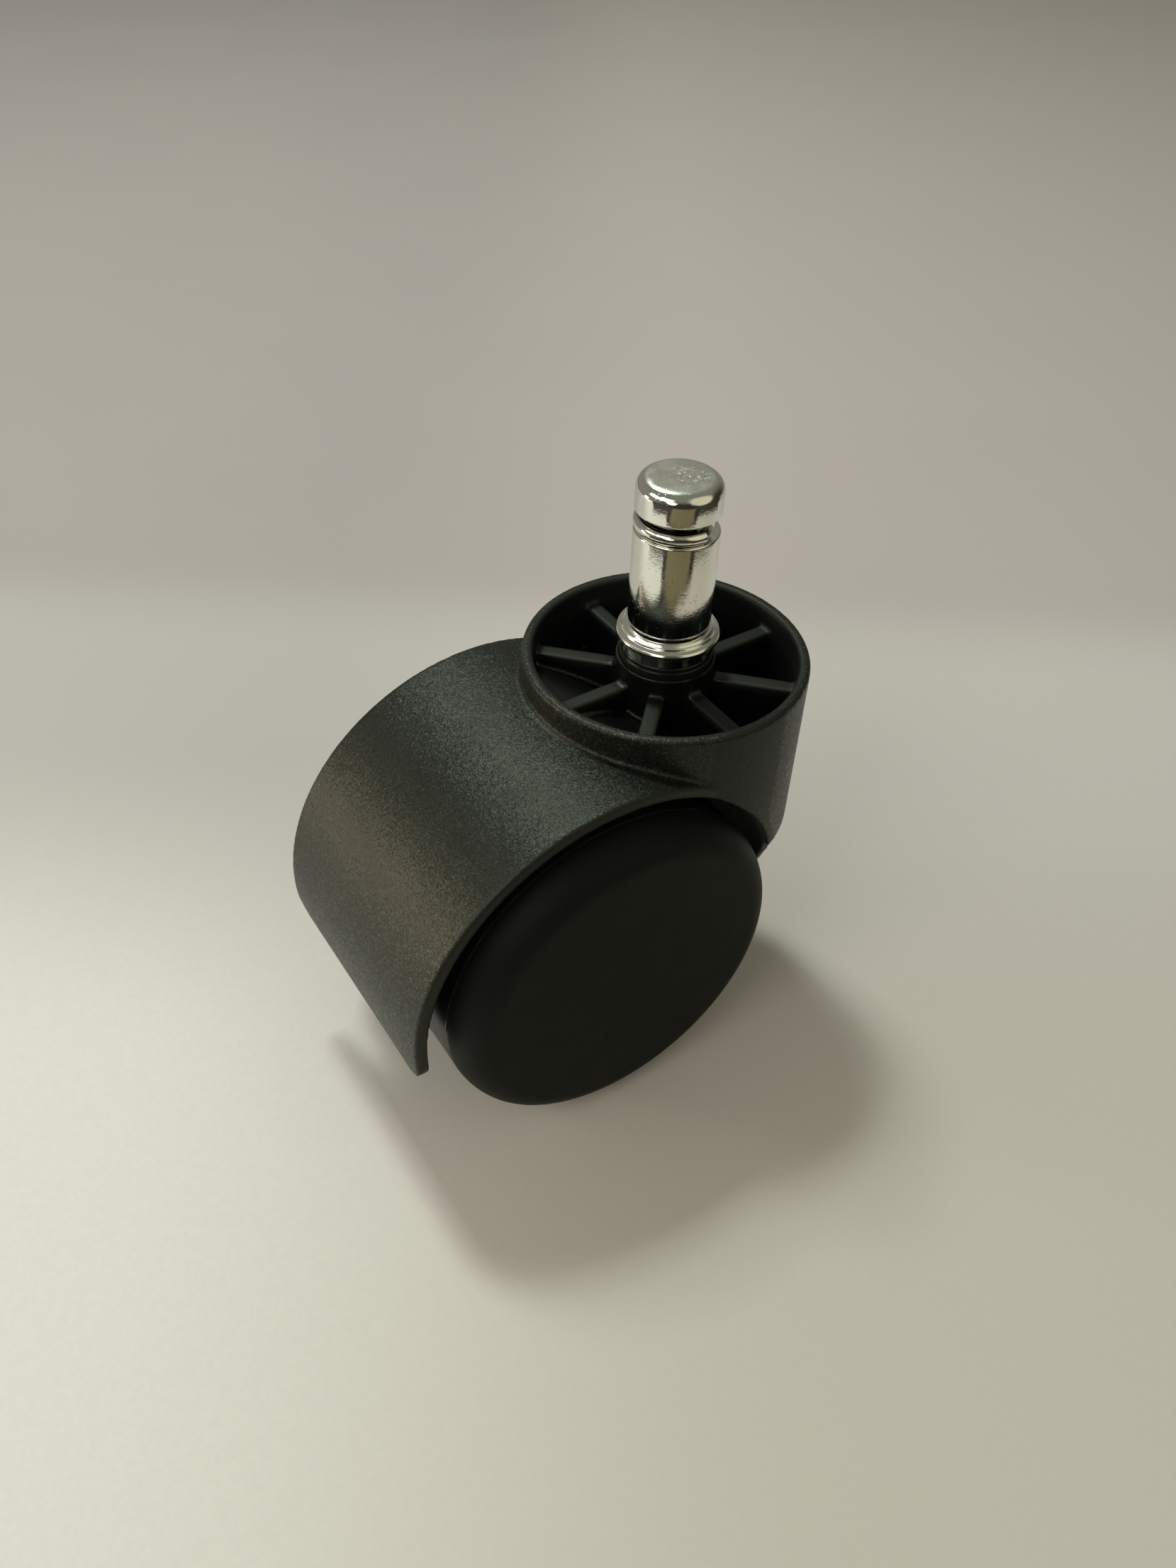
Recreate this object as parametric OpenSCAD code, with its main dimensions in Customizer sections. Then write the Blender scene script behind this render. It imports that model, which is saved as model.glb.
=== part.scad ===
// Twin-wheel hooded chair caster with a grip-ring stem.
// Frame: origin on the stem axis at the collar's shoulder, where the chair base rests. +Z runs up
// the stem, the wheels' common axle lies along Y, and the wheels trail towards -X.

/* [Stem] */
// Diameter of the shank that goes into the chair base
stem_d = 11; // [10.9:0.05:11.1]
// Length of the stem above the collar's shoulder
stem_len = 21; // [20:0.5:26]
// Height of the rounded head above the ring groove
head_h = 4.4; // [4:0.1:6]
// Radius that rounds the head's top edge
head_round = 1.7; // [1.2:0.1:2.6]
// Width of the groove for the grip ring
groove_w = 2.6; // [2.2:0.1:3]
// Depth of the groove for the grip ring
groove_depth = 1.7; // [1.5:0.05:1.8]
// Diameter of the collar that the chair base rests on
collar_d = 13.7; // [13.2:0.1:14]
// Height of the collar from shoulder to underside
collar_h = 3.35; // [3:0.05:3.6]
// Diameter of the pintle that turns in the sleeve
pintle_d = 8.5; // [8:0.1:8.8]
// Depth of the pintle's tip below the shoulder
pintle_depth = 35; // [33:0.5:35]

/* [Grip ring] */
// Diameter of the grip ring's wire
grip_wire_d = 1.74; // [1.6:0.02:1.78]
// Outside diameter of the grip ring as it sits in its groove
grip_ring_d = 11.2; // [11.1:0.05:11.3]
// Angle that the ring's gap leaves open
grip_gap_deg = 75; // [20:1:90]
// Direction of the middle of the ring's gap, from +X
grip_gap_at_deg = -47; // [-180:1:180]

/* [Hood] */
// Outside diameter of the cup round the stem
cup_d = 38.6; // [38:0.1:39]
// Wall thickness of the cup
cup_wall = 1.55; // [1.4:0.05:2]
// Depth of the cup's rim below the shoulder
rim_drop = 4.7; // [4.5:0.1:5]
// Depth of the cup's underside below the shoulder
cup_drop = 30.25; // [29:0.25:31]
// Outside radius of the arch over the wheels
arch_r = 29.75; // [29.5:0.05:30]
// Wall thickness of the arch
arch_wall = 1.8; // [1.6:0.1:2]
// Width of the arch across both wheels
arch_w = 37.6; // [37:0.2:38]
// Distance of the arch's centre behind the stem axis
arch_back = 19.7; // [19.5:0.05:19.9]
// Depth of the arch's centre below the shoulder
arch_drop = 38.55; // [38.4:0.05:38.7]
// Number of ribs between the stem boss and the cup wall
rib_count = 8; // [6:1:10]
// Thickness of each rib
rib_t = 2.2; // [1.8:0.1:2.4]
// Depth of the rib tops below the cup's rim
rib_drop = 3.0; // [2.5:0.1:4]

/* [Wheels] */
// Diameter of each wheel
wheel_d = 50; // [49:0.25:50.5]
// Width over both wheels
wheels_w = 46; // [45.5:0.25:46.5]
// Width of the gap between the two wheels
wheel_gap = 15; // [14.8:0.1:15.6]
// Distance of the axle behind the stem axis
axle_back = 19.3; // [19.2:0.05:19.4]
// Depth of the axle below the shoulder
axle_drop = 38.35; // [38.2:0.05:38.5]
// Radial height of the rounded shoulder between face and tread
shoulder_r = 4.3; // [3.5:0.1:5]
// Width of the rounded shoulder along the axle
shoulder_w = 5.4; // [4.5:0.1:6]
// Height of the dome of the wheel's face
face_dome = 0.3; // [0.2:0.05:0.5]
// Thickness of the wheel's face and tread walls
wheel_wall = 2.4; // [2:0.1:2.6]
// Diameter of the axle
axle_d = 6; // [5.8:0.1:6.2]
// Number of ribs inside each wheel
wheel_ribs = 10; // [8:1:12]

/* [Hidden] */
$fn = 96;

running_gap = 0.05;

// Stem, as heights above the shoulder
stem_r = stem_d / 2;
shank_h = stem_len - head_h - groove_w;
groove_r = stem_r - groove_depth;
groove_fillet = 0.8;
collar_r = collar_d / 2;
collar_neck_r = 6.2;
collar_step_r = 6.1;
collar_step_z = -0.35;
collar_edge_z = -1.1;
collar_lip_h = 0.6;
collar_bevel = 0.25;
pintle_r = pintle_d / 2;
pintle_tip_r = 1.5;
pintle_tip_h = 0.5;
pintle_chamfer = 1;

// Lower retaining ring on the pintle
pintle_wire_d = 1.2;
pintle_groove_z = -31.3;
pintle_groove_h = 1.4;
pintle_groove_r = 3.8;
pintle_ring_r = 4.5;
pintle_ring_gap_deg = 50;

// Boss and sleeve
boss_r = 6.75;
boss_top_z = -4.9;
boss_bore_r = 5.5;
boss_floor_z = -36.4;
boss_end_z = -38.6;
flange_r = 6.25;
flange_seat_z = -5.4;
flange_seat_gap = 0.1;
collar_gap = 0.15;
sleeve_end_z = -29.6;
pad_t = 1.3;
pad_r = boss_bore_r - 0.1;

// Hood
cup_r = cup_d / 2;
rim_z = -rim_drop;
rim_round = 0.45;
edge_round = 0.4;
floor_t = 1.6;
arch_in_r = arch_r - arch_wall;
rear_lip_z = -44.0;
rear_lip_round = 3.8;
front_lip_z = -40.5;
front_lip_round = 4;
front_lip_taper = 23.5;
tongue_inset = 0.12;
tongue_overlap = 0.2;
web_t = 4.4;
web_top_z = -9;
web_rear_z = -32;
web_front_z = -32;
axle_boss_r = 6.5;
axle_boss_w = 14.2;

// Wheel, with its profile drawn as radius against distance from the middle plane
wheel_r = wheel_d / 2;
wheel_out = wheels_w / 2;
wheel_in = wheel_gap / 2;
tread_round = 0.8;
cavity_step = 2;
hub_r = 6.5;
mid_ring_r = 13.6;
mid_ring_t = 1.5;
wheel_rib_t = 1.6;
rib_inset = 1.6;
bore_end = 18.9;
axle_r = axle_d / 2;
axle_half = 18.5;
axle_chamfer = 0.5;
clip_at = 16.6;
clip_wire_d = 1.1;
clip_groove_w = 1.3;
clip_groove_r = axle_r - 0.65;
clip_ring_r = axle_r - 0.03;
clip_seat_r = axle_r + 0.65;
clip_seat_w = clip_groove_w + 0.1;
clip_gap_deg = 50;

steel_plate = [0.82, 0.82, 0.80];
nylon = [0.10, 0.10, 0.10];
wheel_nylon = [0.07, 0.07, 0.07];
acetal = [0.03, 0.03, 0.035];

// Points of an elliptical arc about c with half-axes a and b, between two angles
function arc(c, a, b, from, to, steps) =
    [for (i = [0 : steps]) let (t = from + (to - from) * i / steps) c + [a * cos(t), b * sin(t)]];

// An open ring of round wire about Z, its gap centred on direction at_deg
module wire_ring(r, wire_d, gap_deg, at_deg) {
    rotate([0, 0, at_deg + gap_deg / 2])
        rotate_extrude(angle = 360 - gap_deg)
            translate([r, 0])
                circle(d = wire_d, $fn = 48);
}

// Half-section with square corners between two radii and two heights
module band(r0, r1, z0, z1) {
    translate([r0, z0])
        square([r1 - r0, z1 - z0]);
}

// ---- Stem ----

module grip_groove_section() {
    z0 = shank_h;
    fillet_x = groove_r + groove_fillet;
    band(fillet_x, stem_r + 1, z0, z0 + groove_w);
    band(groove_r, stem_r + 1, z0 + groove_fillet, z0 + groove_w - groove_fillet);
    for (z = [z0 + groove_fillet, z0 + groove_w - groove_fillet])
        translate([fillet_x, z])
            circle(r = groove_fillet, $fn = 48);
}

// Shank and head, without the ring groove
module shank_section() {
    flat_r = stem_r - head_round;
    polygon(concat(
        [[0, -1], [stem_r, -1]],
        arc([flat_r, stem_len - head_round], head_round, head_round, 0, 90, 12),
        [[0, stem_len]]
    ));
}

// Collar with its turned steps, then the pintle
module pintle_section() {
    lip_z = collar_edge_z - collar_lip_h;
    groove_top_z = pintle_groove_z + pintle_groove_h;
    tip_z = -pintle_depth;
    polygon([
        [0, 0],
        [collar_step_r - 2 * collar_bevel, 0],
        [collar_step_r - collar_bevel, collar_step_z + 0.1],
        [collar_step_r, collar_step_z],
        [collar_step_r + 0.1, collar_step_z - collar_bevel],
        [collar_r - collar_bevel, collar_edge_z + 0.2],
        [collar_r, collar_edge_z],
        [collar_r, lip_z],
        [collar_neck_r, lip_z - 2 * collar_bevel],
        [collar_neck_r, -collar_h],
        [pintle_r, -collar_h],
        [pintle_r, groove_top_z],
        [pintle_groove_r, groove_top_z],
        [pintle_groove_r, pintle_groove_z],
        [pintle_r, pintle_groove_z],
        [pintle_r, tip_z + pintle_tip_h + pintle_chamfer],
        [pintle_r - pintle_chamfer, tip_z + pintle_tip_h],
        [pintle_tip_r, tip_z],
        [0, tip_z]
    ]);
}

module stem() {
    color(steel_plate)
        difference() {
            union() {
                rotate_extrude()
                    shank_section();
                rotate_extrude()
                    pintle_section();
            }
            rotate_extrude()
                grip_groove_section();
        }
}

module grip_ring() {
    color(steel_plate)
        translate([0, 0, shank_h + grip_wire_d / 2 + running_gap])
            wire_ring((grip_ring_d - grip_wire_d) / 2, grip_wire_d, grip_gap_deg, grip_gap_at_deg);
}

module pintle_ring() {
    color(steel_plate)
        translate([0, 0, pintle_groove_z + pintle_groove_h / 2])
            wire_ring(pintle_ring_r, pintle_wire_d, pintle_ring_gap_deg, 90);
}

// ---- Hood ----

// Solid of the given radius and width along the axle direction, at the arch's centre
module arch_drum(r, w) {
    translate([-arch_back, 0, -arch_drop])
        rotate([90, 0, 0])
            cylinder(r = r, h = w, center = true, $fn = 180);
}

// Solid drum of the arch's outside, with rounded side edges
module arch_block() {
    half = arch_w / 2;
    translate([-arch_back, 0, -arch_drop])
        rotate([90, 0, 0])
            rotate_extrude($fn = 180)
                polygon(concat(
                    [[0, -half]],
                    arc([arch_r - edge_round, edge_round - half], edge_round, edge_round, -90, 0, 4),
                    arc([arch_r - edge_round, half - edge_round], edge_round, edge_round, 0, 90, 4),
                    [[0, half]]
                ));
}

// Outline of the rear lip, as Y against Z, with rounded corners
module rear_lip_outline() {
    half = arch_w / 2;
    r = rear_lip_round;
    polygon(concat(
        [[half, 0]],
        [[-half, 0]],
        arc([r - half, rear_lip_z + r], r, r, 180, 270, 8),
        arc([half - r, rear_lip_z + r], r, r, 270, 360, 8)
    ));
}

// Outline of the front tongue: its sides taper from the cup's underside to rounded corners
module front_tongue_outline() {
    r = front_lip_round;
    root_x = sqrt(pow(arch_r, 2) - pow(arch_drop - cup_drop, 2)) - arch_back;
    root_y = sqrt(pow(cup_r, 2) - pow(root_x, 2)) - tongue_inset;
    top_y = root_y + tongue_overlap * tan(front_lip_taper);
    top_z = tongue_overlap - cup_drop;
    corner_z = front_lip_z + r;
    corner_y = root_y + (corner_z + cup_drop) * tan(front_lip_taper) - r / cos(front_lip_taper);
    polygon(concat(
        [[-top_y, top_z], [top_y, top_z]],
        arc([corner_y, corner_z], r, r, -front_lip_taper, -90, 8),
        arc([-corner_y, corner_z], r, r, 270, 180 + front_lip_taper, 8)
    ));
}

// The arch's outside above its rear lip, and the tongue it ends in below the cup
module arch_outside() {
    rear_end = -arch_back - arch_r - 1;
    intersection() {
        arch_block();
        union() {
            translate([rear_end, 0, 0])
                rotate([90, 0, 90])
                    linear_extrude(-arch_back - rear_end)
                        rear_lip_outline();
            translate([-arch_back - 1, -arch_w / 2 - 1, -arch_drop])
                cube([arch_back + 1, arch_w + 2, arch_drop]);
            rotate([90, 0, 90])
                linear_extrude(cup_r)
                    front_tongue_outline();
        }
    }
}

// The cup as a solid, its outer rim edge rounded
module cup_block() {
    rotate_extrude($fn = 180)
        polygon(concat(
            [[0, -cup_drop], [cup_r, -cup_drop]],
            arc([cup_r - rim_round, rim_z - rim_round], rim_round, rim_round, 0, 90, 5),
            [[0, rim_z]]
        ));
}

// What is taken out of the cup: its inside, down to the arch and the floor, round the ribs
module cup_hollow() {
    inner = cup_r - cup_wall;
    difference() {
        rotate_extrude($fn = 180)
            polygon(concat(
                [[0, floor_t - cup_drop], [inner, floor_t - cup_drop]],
                arc([inner + rim_round, rim_z - rim_round], rim_round, rim_round, 180, 90, 5),
                [[inner + rim_round, rim_z + 1], [0, rim_z + 1]]
            ));
        arch_drum(arch_r, 3 * cup_r);
        cup_ribs();
    }
}

module cup_ribs() {
    top = rim_z - rib_drop;
    for (i = [0 : rib_count - 1])
        rotate([0, 0, i * 360 / rib_count])
            translate([0, -rib_t / 2, -cup_drop])
                cube([cup_r, rib_t, cup_drop + top]);
}

// Plate between the wheels that joins the arch, the stem boss and the axle boss
module centre_web() {
    under_axle_z = 1 - axle_drop - axle_boss_r;
    rotate([90, 0, 0])
        linear_extrude(web_t, center = true)
            intersection() {
                translate([-arch_back, -arch_drop])
                    circle(r = arch_in_r + arch_wall / 2, $fn = 180);
                polygon([
                    [boss_r - 1, web_top_z],
                    [boss_r - 1, web_front_z],
                    [0, boss_end_z + 2],
                    [axle_boss_r / 2 - axle_back, under_axle_z],
                    [-axle_boss_r / 2 - axle_back, under_axle_z],
                    [-arch_back - arch_r, web_rear_z],
                    [-arch_back - arch_r, web_top_z]
                ]);
            }
}

module hood() {
    color(nylon)
        difference() {
            union() {
                difference() {
                    union() {
                        arch_outside();
                        cup_block();
                    }
                    arch_drum(arch_in_r, 3 * cup_r);
                    cup_hollow();
                }
                centre_web();
                translate([0, 0, boss_end_z])
                    cylinder(r = boss_r, h = boss_top_z - boss_end_z);
                translate([-axle_back, 0, -axle_drop])
                    rotate([90, 0, 0])
                        cylinder(r = axle_boss_r, h = axle_boss_w, center = true);
            }
            // Blind bore for the sleeve, with a seat for its flange
            translate([0, 0, boss_floor_z])
                cylinder(r = boss_bore_r, h = -boss_floor_z);
            translate([0, 0, flange_seat_z])
                cylinder(r = flange_r + flange_seat_gap, h = 2);
            // Axle hole
            translate([-axle_back, 0, -axle_drop])
                rotate([90, 0, 0])
                    cylinder(r = axle_r, h = 2 * axle_boss_w, center = true);
        }
}

module swivel_sleeve() {
    top_z = -collar_h - collar_gap;
    color(acetal)
        difference() {
            union() {
                translate([0, 0, sleeve_end_z])
                    cylinder(r = boss_bore_r, h = top_z - sleeve_end_z);
                translate([0, 0, flange_seat_z])
                    cylinder(r = flange_r, h = top_z - flange_seat_z);
            }
            translate([0, 0, sleeve_end_z - 1])
                cylinder(r = pintle_r + running_gap, h = -sleeve_end_z + 1);
        }
}

module thrust_pad() {
    color(steel_plate)
        translate([0, 0, boss_floor_z])
            cylinder(r = pad_r, h = pad_t);
}

// ---- Axle ----

module axle() {
    color(steel_plate)
        translate([-axle_back, 0, -axle_drop])
            rotate([90, 0, 0])
                rotate_extrude()
                    difference() {
                        polygon([
                            [0, -axle_half],
                            [axle_r - axle_chamfer, -axle_half],
                            [axle_r, -axle_half + axle_chamfer],
                            [axle_r, axle_half - axle_chamfer],
                            [axle_r - axle_chamfer, axle_half],
                            [0, axle_half]
                        ]);
                        for (side = [-1, 1])
                            translate([clip_groove_r, side * clip_at - clip_groove_w / 2])
                                square([axle_r, clip_groove_w]);
                    }
}

module axle_ring(side) {
    color(steel_plate)
        translate([-axle_back, side * clip_at, -axle_drop])
            rotate([90, 0, 0])
                wire_ring(clip_ring_r, clip_wire_d, clip_gap_deg, 90);
}

// ---- Wheels ----

// Outline of the wheel's outside: tread, shoulder and domed face
module wheel_outer_section() {
    face = wheel_out - face_dome;
    flat_r = wheel_r - shoulder_r;
    dome_r = (flat_r * flat_r + face_dome * face_dome) / (2 * face_dome);
    dome_deg = asin(flat_r / dome_r);
    polygon(concat(
        [[0, wheel_in]],
        arc([wheel_r - tread_round, wheel_in + tread_round], tread_round, tread_round, -90, 0, 5),
        arc([flat_r, face - shoulder_w], shoulder_r, shoulder_w, 0, 90, 14),
        arc([0, wheel_out - dome_r], dome_r, dome_r, 90 - dome_deg * 0.8, 90, 4)
    ));
}

// The open annulus between hub and tread, before ribs are put back
module wheel_cavity_section() {
    tread_in_r = wheel_r - wheel_wall;
    floor_h = wheel_out - face_dome - wheel_wall;
    band(hub_r, tread_in_r, wheel_in - 1, floor_h - cavity_step);
    band(hub_r, tread_in_r - cavity_step, wheel_in - 1, floor_h);
}

module wheel_ribbing() {
    depth = wheel_out - wheel_wall - wheel_in - rib_inset;
    translate([0, 0, wheel_in + rib_inset]) {
        difference() {
            cylinder(r = mid_ring_r + mid_ring_t / 2, h = depth);
            translate([0, 0, -1])
                cylinder(r = mid_ring_r - mid_ring_t / 2, h = depth + 2);
        }
        for (i = [0 : wheel_ribs - 1])
            rotate([0, 0, i * 360 / wheel_ribs])
                translate([hub_r - 0.5, -wheel_rib_t / 2, 0])
                    cube([wheel_r - wheel_wall - hub_r + 1, wheel_rib_t, depth]);
    }
}

// One wheel about Z, its inner side facing down
module wheel() {
    difference() {
        union() {
            rotate_extrude($fn = 180)
                difference() {
                    wheel_outer_section();
                    wheel_cavity_section();
                }
            wheel_ribbing();
        }
        // Blind bore for the axle
        translate([0, 0, wheel_in - 1])
            cylinder(r = axle_r + running_gap, h = bore_end - wheel_in + 1);
        // Recess that the axle ring snaps into
        translate([0, 0, clip_at - clip_seat_w / 2])
            cylinder(r = clip_seat_r, h = clip_seat_w);
    }
}

module wheel_left() {
    color(wheel_nylon)
        translate([-axle_back, 0, -axle_drop])
            rotate([-90, 0, 0])
                wheel();
}

module wheel_right() {
    color(wheel_nylon)
        translate([-axle_back, 0, -axle_drop])
            rotate([90, 0, 0])
                wheel();
}

stem();
grip_ring();
pintle_ring();
hood();
swivel_sleeve();
thrust_pad();
axle();
axle_ring(1);  // axle_ring_left
axle_ring(-1);  // axle_ring_right
wheel_left();
wheel_right();
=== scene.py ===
"""Looks for the twin-wheel chair caster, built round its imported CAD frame.

Sizes below are in millimetres and are scaled to metres where a mesh or a lamp is made.
"""

import math
import random

import bmesh
import bpy
import numpy as np
from mathutils import Matrix, Vector


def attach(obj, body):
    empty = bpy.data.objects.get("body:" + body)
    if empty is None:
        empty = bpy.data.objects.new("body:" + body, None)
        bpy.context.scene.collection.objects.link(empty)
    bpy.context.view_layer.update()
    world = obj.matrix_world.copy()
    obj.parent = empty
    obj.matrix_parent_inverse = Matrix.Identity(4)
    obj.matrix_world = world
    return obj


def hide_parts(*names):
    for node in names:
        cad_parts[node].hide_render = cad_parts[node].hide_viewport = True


MM = 0.001

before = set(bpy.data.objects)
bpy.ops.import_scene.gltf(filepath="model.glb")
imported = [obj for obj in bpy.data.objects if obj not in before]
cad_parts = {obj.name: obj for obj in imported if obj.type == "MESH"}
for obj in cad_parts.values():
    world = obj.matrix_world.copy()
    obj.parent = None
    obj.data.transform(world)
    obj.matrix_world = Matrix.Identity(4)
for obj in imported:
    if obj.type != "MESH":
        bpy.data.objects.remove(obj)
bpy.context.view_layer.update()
scene = bpy.context.scene

# ---- Measures shared with the CAD part, in mm ----

STEM_R = 5.5
STEM_TOP = 21.0
HEAD_ROUND = 1.7
GROOVE = (14.0, 16.6)
GROOVE_R = 3.8
COLLAR_R = 6.85
COLLAR_EDGE = -1.1
COLLAR_END = -3.35
PINTLE_R = 4.25
PINTLE_END = -35.0
PINTLE_GROOVE = (-31.3, -29.9)
PINTLE_GROOVE_R = 3.8
GRIP_WIRE_R = 0.87
GRIP_PATH_R = 4.73
GRIP_Z = 14.92
GRIP_GAP = 75.0
GRIP_GAP_AT = -47.0

CUP_R = 19.3
CUP_WALL = 1.55
RIM_Z = -4.7
RIB_TOP = -7.7
ARCH_R = 29.75
ARCH_CENTRE = (-19.7, -38.55)
ARCH_HALF = 18.8

SLEEVE_R = 5.5
SLEEVE_BORE = 4.3
FLANGE_R = 6.25
FLANGE = (-5.4, -3.5)
SLEEVE_END = -29.6

AXLE = (-19.3, -38.35)
WHEEL_R = 25.0
WHEEL_IN = 7.5
WHEEL_OUT = 23.0
FACE_DOME = 0.3
SHOULDER = (4.3, 5.4)
TREAD_IN = 0.05
SEAM_IN = 0.005
SEAM_RAGGED = 0.022
WHEEL_WALL = 2.4
HUB_R = 6.5
HUB_BORE = 3.05
BORE_END = 18.9
CLIP_SEAT = (15.9, 17.3)
CLIP_SEAT_R = 3.65
MID_RING = (12.85, 14.35)
CAVITY_STEP = 2.0
WHEEL_RIBS = 10
WHEEL_RIB_T = 1.6
RIB_FROM = 9.1

# ---- Detail of the hood's mesh and of the grain, in mm ----

VOXEL = 0.3
KEEP_FACES = 0.40
GRAIN_CELL = 0.24

# ---- Surroundings and camera, in mm and degrees ----

FLOOR_Z = -63.35
FLOOR_HALF = 2500
AWAY = (0.574, 0.819)  # a unit step over the floor, square to the paper's crease
DESK_FROM = 150
BACKDROP_R = 2400
BACKDROP_TOP = 3000
AIM = (-12, 0, -25)
WINDOW_AZIMUTH, WINDOW_ELEVATION = -65, 31
CAMERA_AT = (-87.27, -107.77, 95.72)
CAMERA_TURN = (47.825, -1.819, -33.378)
CAMERA_LENS = 29.27


# ---- Mesh helpers ----


def new_piece(name, verts, faces):
    """A mesh object from points in mm."""
    mesh = bpy.data.meshes.new(name)
    mesh.from_pydata([Vector(v) * MM for v in verts], [], faces)
    mesh.validate()
    piece = bpy.data.objects.new(name, mesh)
    scene.collection.objects.link(piece)
    mend_normals(piece)
    return piece


def mend_normals(piece):
    """Merges points that coincide and turns every face outwards."""
    bm = bmesh.new()
    bm.from_mesh(piece.data)
    bmesh.ops.remove_doubles(bm, verts=bm.verts, dist=1e-7)
    bmesh.ops.recalc_face_normals(bm, faces=bm.faces)
    bm.to_mesh(piece.data)
    bm.free()


def smooth_shade(piece, angle=35.0):
    """Smooth shading, with edges sharper than angle kept crisp."""
    mesh = piece.data
    mesh.polygons.foreach_set("use_smooth", [True] * len(mesh.polygons))
    mesh.set_sharp_from_angle(angle=math.radians(angle))


def apply_modifiers(piece):
    """Turns the piece's modifiers into plain mesh."""
    deps = bpy.context.evaluated_depsgraph_get()
    mesh = bpy.data.meshes.new_from_object(piece.evaluated_get(deps))
    piece.modifiers.clear()
    piece.data = mesh


def rounded(corners, steps=6):
    """A line through corners (r, z, fillet), each corner rounded by its fillet."""
    line = []
    last = len(corners) - 1
    for i, (r, z, fillet) in enumerate(corners):
        here = Vector((r, z))
        if fillet <= 0 or i in (0, last):
            line.append(tuple(here))
            continue
        before = Vector(corners[i - 1][:2]) - here
        after = Vector(corners[i + 1][:2]) - here
        half = before.angle(after) / 2
        reach = min(fillet / math.tan(half), before.length * 0.49, after.length * 0.49)
        start = here + before.normalized() * reach
        end = here + after.normalized() * reach
        for k in range(steps + 1):
            t = k / steps
            point = start * (1 - t) ** 2 + here * 2 * t * (1 - t) + end * t * t
            line.append(tuple(point))
    return line


def lathe(name, line, segments=256, wobble=None):
    """Turns a line of (r, z) about Z. Ends at r = 0 close to a point.

    wobble(i, angle) adds to the radius of the line's point i.
    """
    verts, rings = [], []
    for i, (r, z) in enumerate(line):
        if r < 1e-6:
            rings.append([len(verts)])
            verts.append((0, 0, z))
            continue
        ring = []
        for k in range(segments):
            angle = 2 * math.pi * k / segments
            here = r + (wobble(i, angle) if wobble else 0)
            ring.append(len(verts))
            verts.append((here * math.cos(angle), here * math.sin(angle), z))
        rings.append(ring)
    faces = []
    for low, high in zip(rings, rings[1:], strict=False):
        for k in range(segments):
            m = (k + 1) % segments
            if len(low) == 1:
                faces.append((low[0], high[k], high[m]))
            elif len(high) == 1:
                faces.append((low[k], low[m], high[0]))
            else:
                faces.append((low[k], low[m], high[m], high[k]))
    if len(rings[0]) > 1 and len(rings[-1]) > 1:
        low, high = rings[-1], rings[0]
        for k in range(segments):
            m = (k + 1) % segments
            faces.append((low[k], low[m], high[m], high[k]))
    return new_piece(name, verts, faces)


def block(name, low, high):
    """A box between two opposite corners."""
    xs, ys, zs = zip(low, high, strict=True)
    verts = [(x, y, z) for x in xs for y in ys for z in zs]
    faces = [(0, 1, 3, 2), (4, 6, 7, 5), (0, 4, 5, 1), (2, 3, 7, 6), (0, 2, 6, 4), (1, 5, 7, 3)]
    return new_piece(name, verts, faces)


def join(pieces):
    """One mesh made of several pieces, under the first one's name."""
    bm = bmesh.new()
    for piece in pieces:
        bm.from_mesh(piece.data)
    bm.to_mesh(pieces[0].data)
    bm.free()
    for piece in pieces[1:]:
        bpy.data.objects.remove(piece)
    return pieces[0]


def fuse(piece, other):
    """Adds another closed piece to this one, and removes the other."""
    union = piece.modifiers.new("fuse", "BOOLEAN")
    union.operation = "UNION"
    union.solver = "EXACT"
    union.object = other
    apply_modifiers(piece)
    bpy.data.objects.remove(other)


def attribute(piece, name, values):
    """One number per point, for Look.painted() to read."""
    layer = piece.data.attributes.new(name, "FLOAT", "POINT")
    layer.data.foreach_set("value", np.asarray(values, np.float32))


def points_mm(piece):
    """The piece's points as rows of x, y, z in mm."""
    co = np.zeros(len(piece.data.vertices) * 3, np.float32)
    piece.data.vertices.foreach_get("co", co)
    return co.reshape(-1, 3) / MM


def ramp_up(x, low, high):
    """0 below low, 1 above high, and a smooth rise between."""
    t = np.clip((x - low) / (high - low), 0, 1)
    return t * t * (3 - 2 * t)


# ---- Material helpers ----


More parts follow.
